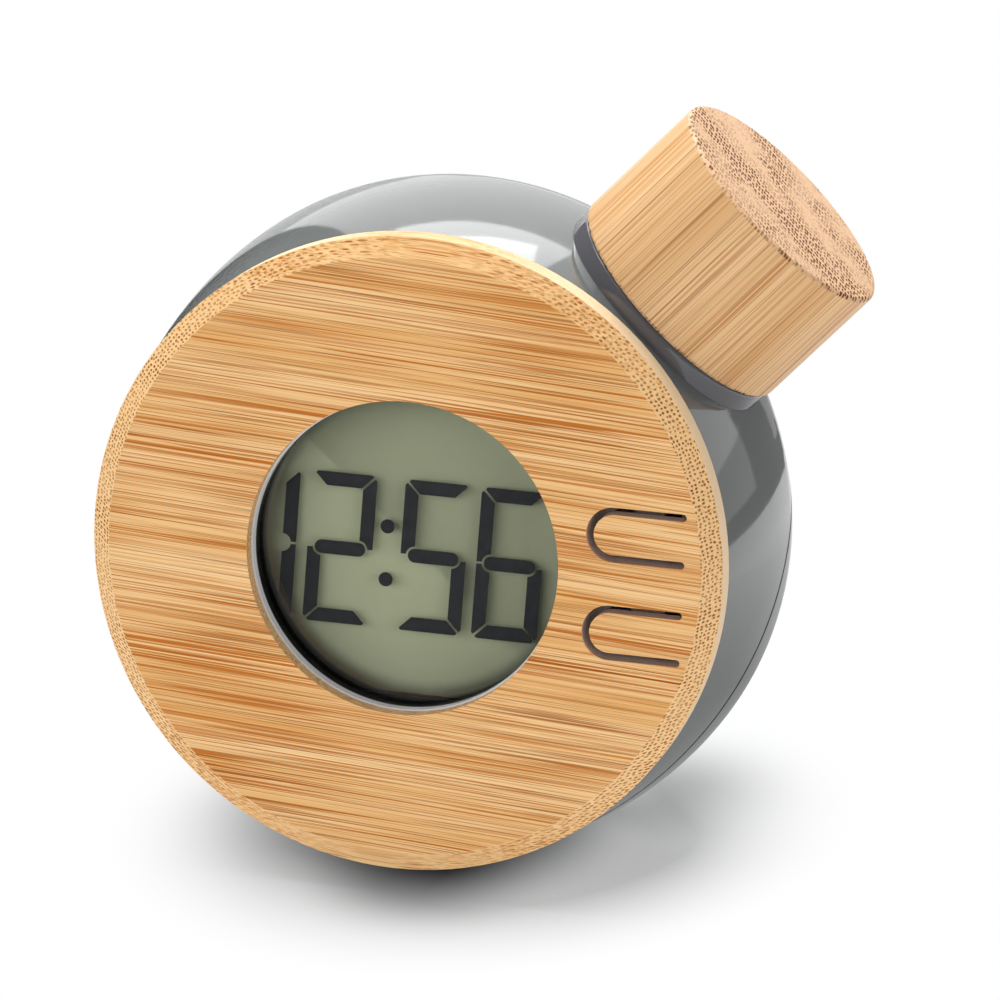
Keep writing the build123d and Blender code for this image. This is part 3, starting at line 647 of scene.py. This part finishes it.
# %% [markdown]
# The drum is moulded in ABS and left glossy from a polished mould, in a middle grey. The eye reads
# such plastic by its reflections, so the colour itself is nearly even, the gloss is high, and only a
# very shallow waviness from the cooling plastic bends the reflections a little. The short neck under
# the cap is the same plastic painted a little darker, as painted shade from the cap, and is told apart
# by its distance from the neck's own axis. Along the seam between the two shells the edges are
# rounded, and their shade is painted as a thin black line that hardly reflects.

# %% Where the neck and the seam are
NECK_RADIUS, NECK_SPARE, NECK_FROM = 15.7, 0.12, 20.0
SEAM_DEPTH = 27.0
SEAM_TILT = math.radians(25.5)
SEAM_HALF, SEAM_DARK, SEAM_FADE = 0.15, 0.20, 0.42


def neck_shade_mask(tree):
    """One within the neck's radius of its axis and far enough along it, zero elsewhere."""
    parts = add(tree, "SeparateXYZ", None, turned(tree, neck_foot, neck_way, -INTO_FACE))
    side = add(tree, "CombineXYZ", None, parts.outputs["Y"], parts.outputs["Z"])
    radius = add(tree, "VectorMath", LENGTH, side)
    inside = add(tree, "Math", BELOW, radius, NECK_RADIUS + NECK_SPARE)
    upper = add(tree, "Math", ABOVE, parts.outputs["X"], NECK_FROM)
    return add(tree, "Math", TIMES, inside, upper)


def painted_seam_shade(tree):
    """Painted shade: one on the seam's inclined plane and a little beside it, falling to zero where the
    fade ends.
    """
    out = -INTO_FACE
    across_seam = math.sin(SEAM_TILT) * UP_FACE + math.cos(SEAM_TILT) * out
    middle = FACE_MIDDLE + SEAM_DEPTH * INTO_FACE - SEAM_HALF * across_seam
    parts = add(tree, "SeparateXYZ", None, turned(tree, middle, ACROSS, across_seam))
    away = add(tree, "Math", UNSIGNED, parts.outputs["Z"])
    return add(tree, "MapRange", SMOOTH, away, SEAM_HALF + SEAM_FADE, SEAM_HALF + SEAM_DARK)


print("neck ends", NECK_RADIUS, "mm from its axis")

# %% Glossy grey plastic
# In mm: clouds in the dye, dust on the surface, and the waves of the cooled skin and their height.
CLOUD, DUST, WAVE, WAVE_HEIGHT = 22.22, 1.111, 7.143, 0.10

grey_abs, tree, shader = finish("glossy_grey_abs", IOR=1.53)
place = add(tree, "TexCoord").outputs["Object"]
cloud = add(tree, "TexNoise", None, place, 1000 / CLOUD, 2.0)
body_tone = add(tree, "MapRange", None, cloud, 0.3, 0.7)
grey = add(tree, "Mix", COLOUR, body_tone, seen("#626665"), seen("#6a6d6c"))
# painted shade: the neck is painted darker where the cap shades it
skin = add(tree, "Mix", COLOUR, neck_shade_mask(tree), grey, seen("#5a595d"))
seam = painted_seam_shade(tree)
# painted shade: the seam is painted near black, and its reflection is turned down below
skin = add(tree, "Mix", COLOUR, seam, skin, seen("#0b0b0b"))
feed(tree, shader.inputs["Base Color"], skin)
dust = add(tree, "TexNoise", None, place, 1000 / DUST, 3.0)
gloss = add(tree, "MapRange", None, dust, 0.35, 0.75, 0.05, 0.10)
feed(tree, shader.inputs["Roughness"], gloss)
shine = add(tree, "MapRange", None, seam, 0.0, 1.0, 0.5, 0.05)
feed(tree, shader.inputs["Specular IOR Level"], shine)
wave = add(tree, "TexNoise", None, place, 1000 / WAVE, 1.0)
relief = add(tree, "Bump", None, Strength=0.10, Distance=WAVE_HEIGHT / 1000, Height=wave)
feed(tree, shader.inputs["Normal"], relief)
dress(grey_abs, "front_shell", "rear_shell")

# %% [markdown]
# Other moulded parts differ in colour, gloss and grain. Rubber and foam are rough and show the eye no
# clear reflection; moulded nylon and polystyrene keep a satin grain from the spark-cut mould. One
# function makes them all, from two tones, the size of the grain, the gloss and the grain's depth.

# %% Moulded plastics


def moulded(name, pale, deep, grain_mm, rough, depth_mm, ior=1.5, level=0.5):
    """A mould's grain: noise of the grain's size changes the tone, the gloss and the height together."""
    material, tree, shader = finish(name, IOR=ior, Specular_IOR_Level=level)
    place = add(tree, "TexCoord").outputs["Object"]
    grain = add(tree, "TexNoise", None, place, 1000 / grain_mm, 3.0, 0.6)
    tone = add(tree, "MapRange", None, grain, 0.3, 0.7)
    feed(tree, shader.inputs["Base Color"], add(tree, "Mix", COLOUR, tone, seen(deep), seen(pale)))
    gloss = add(tree, "MapRange", None, grain, 0.3, 0.7, rough * 1.2, rough * 0.85)
    feed(tree, shader.inputs["Roughness"], gloss)
    relief = add(tree, "Bump", None, Strength=0.6, Distance=depth_mm / 1000, Height=grain)
    feed(tree, shader.inputs["Normal"], relief)
    return material


# The plug under the cap is a plain pale plastic with an even satin sheen.
dress(moulded("pale_grained_abs", "#d3d0cf", "#c6c3c3", 0.6, 0.45, 0.01), "cap_plug")
# The cup that holds the works is black, so that no light strays behind the display.
dress(moulded("black_grained_nylon", "#26272a", "#1a1b1d", 0.7, 0.42, 0.012, 1.53),
      "module_cup", "chip_cover")
# The display's carrier is a natural, undyed nylon, and shows as a dim brown through the saw cuts.
dress(moulded("undyed_grained_nylon", "#d8c3b2", "#c7b09e", 0.7, 0.5, 0.012, 1.53), "display_frame")
# The posts behind the keys are a waxy white that slides well.
dress(moulded("white_moulded_nylon", "#e6e4dd", "#d8d5cc", 0.6, 0.4, 0.01, 1.53),
      "upper_key_post", "lower_key_post")

# %% Ring round the window
# The ring is a satin white that catches light at its front, and it is inked black further in, so
# that the display seems to float in the dark.
BLACK_FROM, BLACK_BLUR = 3.4, 0.1

ring = moulded("satin_white_polystyrene", "#f1eff0", "#e8e5e7", 0.5, 0.32, 0.006)
tree = ring.node_tree
shader = tree.nodes["Principled BSDF"]
parts = add(tree, "SeparateXYZ", None, turned(tree, FACE_MIDDLE, ACROSS, -INTO_FACE))
black_further_in = add(tree, "MapRange", SMOOTH, parts.outputs["Z"], -BLACK_FROM + BLACK_BLUR, -BLACK_FROM - BLACK_BLUR)
plain = shader.inputs["Base Color"].links[0].from_socket
feed(tree, shader.inputs["Base Color"], add(tree, "Mix", COLOUR, black_further_in, plain, seen("#0b0b0b")))
dress(ring, "window_ring")

# %% Rubber, silicone and foam
# Seals, foot and pills are a dull, dark rubber that grips and shows no clear reflection.
dress(moulded("dark_soft_silicone", "#2d2c2e", "#1f1e20", 0.4, 0.55, 0.01, 1.43),
      "foot_pad", "cup_gasket", "cap_seal", "zinc_terminal_seal", "copper_terminal_seal",
      "upper_contact_pill", "lower_contact_pill")
# The cord in the seam lies in the shade of both edges, so it hardly reflects.
dress(moulded("black_silicone_cord", "#0e0e0f", "#080809", 0.4, 0.8, 0.01, 1.43, 0.05), "shell_seam")
# The tape's cut edge is open foam, chalky and full of small pits.
dress(moulded("white_foam_tape", "#dedbd2", "#c4c0b4", 0.35, 0.85, 0.05), "panel_tape")

# %% Striped connectors
# The rubber bars that join glass and board are stacks of carbon-black and clear layers. The real
# layers are 0.1 mm thick; they are drawn four times as thick, so that they can be told apart. The
# wave's scale is a tenth of pi over the stripe's width.
STRIPE = 0.4

zebra, tree, shader = finish("carbon_striped_silicone", Roughness=0.55, IOR=1.41)
flat = turned(tree, FACE_MIDDLE, ACROSS, -INTO_FACE)
stripe = add(tree, "TexWave", None, flat, Scale=math.pi / (10 * STRIPE))
feed(tree, shader.inputs["Base Color"],
     add(tree, "Mix", COLOUR, stripe.outputs["Fac"], seen("#101011"), seen("#262628")))
dress(zebra, "upper_connector", "lower_connector")

# %% [markdown]
# A reflective liquid crystal display is a sandwich: glass, dark bars, glass, and a grey-green foil
# that sends the room's light back. The bars hover about a millimetre in front of the foil, so each
# throws a soft shadow on it. To get that shadow the bars are real thin plates, and the glass lets
# light through to the foil.

# %% Outlines of the display's bars
DIGITS = "1256"
DIGIT_MIDDLES = (-19.25, -9.4, 2.55, 12.25)
DIGIT_LEVEL = -0.9
DIGIT_WIDTH, DIGIT_HEIGHT, STROKE, STROKE_GAP, TRIM = 8.35, 19.2, 1.75, 0.3, 0.25
COLON_MIDDLE, COLON_HALF, COLON_RADIUS = -3.4, 3.375, 0.9
SLANT = math.tan(math.radians(2))
BARS_LIT = {"1": "bc", "2": "abged", "5": "afgcd", "6": "afgedc"}


def leaned(x, y):
    """Outline points with every x moved by the slant times its height."""
    return np.stack([np.asarray(x) + np.asarray(y) * SLANT, np.asarray(y)], axis=1)


def round_ended(length, thick, steps=14):
    """Slot outline: two half circles of half the thickness, one at each end of a straight middle."""
    turn = np.linspace(-math.pi / 2, math.pi / 2, steps)
    reach = length / 2 - thick / 2
    right = np.stack([reach + thick / 2 * np.cos(turn), thick / 2 * np.sin(turn)], axis=1)
    return np.concatenate([right, -right])


def bar_outline(bar):
    """One bar: level bars have mitred ends, uprights also a round notch that clears the middle bar."""
    w, h, cut = DIGIT_WIDTH / 2, DIGIT_HEIGHT / 2, STROKE_GAP / math.sqrt(2)
    if bar == "g":
        return round_ended(DIGIT_WIDTH - STROKE - STROKE_GAP / 2, STROKE)
    if bar in "ad":
        half = np.array([(w - cut - 2 * TRIM, h), (w - cut - TRIM, h - TRIM),
                         (w - STROKE - cut, h - STROKE)])
        x, y = np.concatenate([half, half[::-1] * (-1, 1)]).T
        side = 1 if bar == "a" else -1
        return leaned(x, side * y)[::-side]
    right, up = {"b": (1, 1), "c": (1, -1), "f": (-1, 1), "e": (-1, -1)}[bar]
    clear = STROKE / 2 + STROKE_GAP
    centre = (DIGIT_WIDTH - STROKE + 1.5 * STROKE_GAP) / 2 - clear
    start, stop = math.acos((w - STROKE - centre) / clear), math.asin(STROKE_GAP / 2 / clear)
    turn = np.linspace(start, stop, 12)
    notch = np.stack([centre + clear * np.cos(turn), clear * np.sin(turn)], axis=1)
    corners = np.array([(w, STROKE_GAP / 2), (w, h - cut - 2 * TRIM), (w - TRIM, h - cut - TRIM),
                        (w - STROKE, h - STROKE - cut)])
    x, y = np.concatenate([notch, corners]).T
    return leaned(right * x, up * y)[::right * up]


def marks():
    """All outlines in mm on the face: each digit's lit bars, and the colon as two discs."""
    for digit, middle in zip(DIGITS, DIGIT_MIDDLES):
        for bar in BARS_LIT[digit]:
            yield bar_outline(bar) + (middle, DIGIT_LEVEL)
    turn = np.linspace(0, 2 * math.pi, 32, endpoint=False)
    disc = COLON_RADIUS * np.stack([np.cos(turn), np.sin(turn)], axis=1)
    for side in (-1, 1):
        yield disc + (COLON_MIDDLE, DIGIT_LEVEL + side * COLON_HALF)


print(sum(1 for _ in marks()), "dark marks on the display")

# %% Display bars as thin plates
BAR_FRONT, BAR_BACK = 6.02, 6.1


def plates(name, outlines, front, back):
    """Each outline twice, at the front and the back depth, with the quads of its edge between them."""
    places, faces, start = [], [], 0
    for outline in outlines:
        count = len(outline)
        for depth in (front, back):
            places.append(on_face(outline[:, 0], outline[:, 1], depth))
        first = start + np.arange(count)
        following = start + np.roll(np.arange(count), -1)
        faces.append(first.tolist())
        faces.append((first[::-1] + count).tolist())
        faces += np.stack([first + count, following + count, following, first], axis=1).tolist()
        start += 2 * count
    mesh = bpy.data.meshes.new(name)
    mesh.from_pydata(np.concatenate(places).tolist(), [], faces)
    piece = bpy.data.objects.new(name, mesh)
    bpy.context.collection.objects.link(piece)
    return piece


display_bars = plates("display_bars", marks(), BAR_FRONT, BAR_BACK)
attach(display_bars, "case")
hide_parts("lcd_segments")
fill_lit.objects.link(display_bars)
print("display bars:", len(display_bars.data.polygons), "faces")

# %% [markdown]
# The dark bars are the crystal itself turned by a voltage: a blue-black with a hint of unevenness.
# The foil behind is finely beaten aluminium under a greenish polariser, so it is matt with a fine
# grain. Towards its edge, most of all at the lower left, a shadow of the window's wall is painted on it.

# %% Dark bars
MOTTLE = 1.6

bar_ink, tree, shader = finish("dark_liquid_crystal", Roughness=0.6, Specular_IOR_Level=0.0)
place = add(tree, "TexCoord").outputs["Object"]
mottle = add(tree, "TexNoise", None, place, 1000 / MOTTLE, 2.0)
ink = add(tree, "Mix", COLOUR, mottle, seen("#303135"), seen("#3c3d41"))
feed(tree, shader.inputs["Base Color"], ink)
display_bars.data.materials.append(bar_ink)
dress(bar_ink, "lcd_segments")

# %% Reflector foil
# In mm on the face: where the lit part has its middle, where the painted shadow begins and where it is
# dark.
LIT_MIDDLE, LIT_TO, SHADOW_DARK_FROM = (1.0, 1.3, 0.0), 17.9, 21.0
FOIL_GRAIN = 0.25

foil, tree, shader = finish("grey_green_reflector_foil", Roughness=0.7, Specular_IOR_Level=0.2)
flat = turned(tree, FACE_MIDDLE, ACROSS, -INTO_FACE)
parts = add(tree, "SeparateXYZ", None, flat)
plane = add(tree, "CombineXYZ", None, parts.outputs["X"], parts.outputs["Y"])
reach = add(tree, "VectorMath", DISTANCE, plane, LIT_MIDDLE)
painted_wall_shadow = add(tree, "MapRange", SMOOTH, reach, LIT_TO, SHADOW_DARK_FROM)
speck = add(tree, "TexNoise", None, flat, 1 / FOIL_GRAIN, 2.0)
tint = add(tree, "Mix", COLOUR, speck, seen("#d1d4b8"), seen("#dcdec4"))
# painted shadow: the foil goes nearly black towards its lower-left edge
tint = add(tree, "Mix", COLOUR, painted_wall_shadow, tint, seen("#14130c"))
feed(tree, shader.inputs["Base Color"], tint)
dress(foil, "lcd_reflector")

# %% Clear glass
# Float glass is flat and all but colourless. Faint smears from wiping take the edge off its mirror,
# and shadow rays pass straight through, so that the foil behind it is lit.
GLASS_TINT, SMEAR = "#fbfcfa", 6.0

clear_glass, tree, shader = finish("clear_float_glass", Base_Color=seen(GLASS_TINT), IOR=1.52,
                                   Transmission_Weight=1.0)
place = add(tree, "TexCoord").outputs["Object"]
smear = add(tree, "TexNoise", None, place, 1000 / SMEAR, 3.0)
smear = add(tree, "MapRange", None, smear, 0.4, 0.8, 0.0, 0.05)
feed(tree, shader.inputs["Roughness"], smear)
ray = add(tree, "LightPath")
through = add(tree, "BsdfTransparent", None, seen(GLASS_TINT))
choice = add(tree, "MixShader", None, ray.outputs["Is Shadow Ray"], shader, through)
feed(tree, tree.nodes["Material Output"].inputs["Surface"], choice)
dress(clear_glass, "lcd_front_glass", "lcd_rear_glass")

# %% [markdown]
# Behind the face the metals do the clock's work: a zinc and a copper plate hang in the water, steel
# screws hold the board, and an aluminium can keeps the time while the water is changed. Rolled sheet
# shows fine lines from the mill, a drawn can shows rings, and plated screws a soft grain.

# %% Metals
LINE_DEPTH = 0.01


def rolled(name, pale, deep, rough, line_mm, run_mm, stain=None, stain_mm=6.0):
    """Noise drawn out along z gives mill lines in tone, gloss and height, and cloudy noise the stains."""
    material, tree, shader = finish(name, Metallic=1.0)
    place = add(tree, "TexCoord").outputs["Object"]
    size = (line_mm / 1000, line_mm / 1000, run_mm / 1000)
    drawn = add(tree, "VectorMath", OVER, place, size)
    lines = add(tree, "TexNoise", None, drawn, 1.0, 3.0)
    colour = add(tree, "Mix", COLOUR, lines, seen(deep), seen(pale))
    if stain:
        cloud = add(tree, "TexNoise", None, place, 1000 / stain_mm, 4.0)
        spread = add(tree, "MapRange", None, cloud, 0.5, 0.75, 0.0, 0.7)
        colour = add(tree, "Mix", COLOUR, spread, colour, seen(stain))
    feed(tree, shader.inputs["Base Color"], colour)
    gloss = add(tree, "MapRange", None, lines, 0.3, 0.7, rough * 0.8, rough * 1.3)
    feed(tree, shader.inputs["Roughness"], gloss)
    relief = add(tree, "Bump", None, Strength=0.2, Distance=LINE_DEPTH / 1000, Height=lines)
    feed(tree, shader.inputs["Normal"], relief)
    return material


# Zinc dulls to a blotchy grey in water.
dress(rolled("rolled_zinc_sheet", "#c3c7cb", "#a5aab0", 0.38, 0.25, 9.0, "#8c9094"),
      "zinc_plate", "zinc_terminal")
# Copper dulls to a warm brown.
dress(rolled("rolled_copper_sheet", "#e3a079", "#c47f56", 0.32, 0.25, 9.0, "#8a5a3c"),
      "copper_plate", "copper_terminal")
# The can stays bright, with short lines from the drawing tool.
dress(rolled("drawn_aluminium_can", "#d5d6d8", "#bcbec1", 0.3, 0.3, 4.0), "memory_capacitor")
# Plating leaves the screws with a soft, even grain.
dress(rolled("zinc_plated_steel", "#c6c6c2", "#a9aaa8", 0.35, 0.2, 0.6),
      *[f"{kind}_screw_{number}" for kind in ("frame", "board") for number in range(1, 5)])
# A flash of gold keeps the contact pads bright and yellow.
dress(rolled("gold_flashed_copper", "#e8c27a", "#cfa45a", 0.28, 0.2, 1.0),
      "upper_contact_pad", "lower_contact_pad")

# %% [markdown]
# A circuit board is woven glass in resin under a green lacquer, with copper tracks that show as paler
# green lines. The contact pads that the keys close are bare copper under gold, split in two.

# %% Circuit board
# In mm: the spacing of the tracks, half their width, their run and their height. The weave's scale
# is a tenth of pi over its threads' 0.2 mm.
TRACK_PITCH, TRACK_HALF, TRACK_RUN, TRACK_HEIGHT = 1.27, 0.14, 7.0, 0.04
WEAVE_SCALE = 1.6

lacquer, tree, shader = finish("green_lacquered_board", Roughness=0.3)
flat = turned(tree, FACE_MIDDLE, ACROSS, -INTO_FACE)
tracks = add(tree, "TexBrick", {"offset": 0.5}, flat, (0, 0, 0, 1), (0.2, 0.2, 0.2, 1), (1, 1, 1, 1),
             Scale=1.0, Mortar_Size=TRACK_HALF, Mortar_Smooth=0.2, Brick_Width=TRACK_RUN,
             Row_Height=TRACK_PITCH)
weave = add(tree, "TexWave", None, flat, Scale=WEAVE_SCALE, Distortion=0.4)
green = add(tree, "Mix", COLOUR, weave.outputs["Fac"], seen("#14522f"), seen("#185c36"))
green = add(tree, "Mix", COLOUR, tracks.outputs["Color"], green, seen("#2f8a52"))
feed(tree, shader.inputs["Base Color"], green)
raised = add(tree, "Bump", None, Strength=0.5, Distance=TRACK_HEIGHT / 1000,
             Height=tracks.outputs["Color"])
feed(tree, shader.inputs["Normal"], raised)
dress(lacquer, "circuit_board")

# %% Nothing left plain
worn = {name: {s.material.name for s in piece.material_slots} for name, piece in nodes.items()}
print("solids still in their plain colour:", [name for name, names in worn.items() if names & frame_slots])
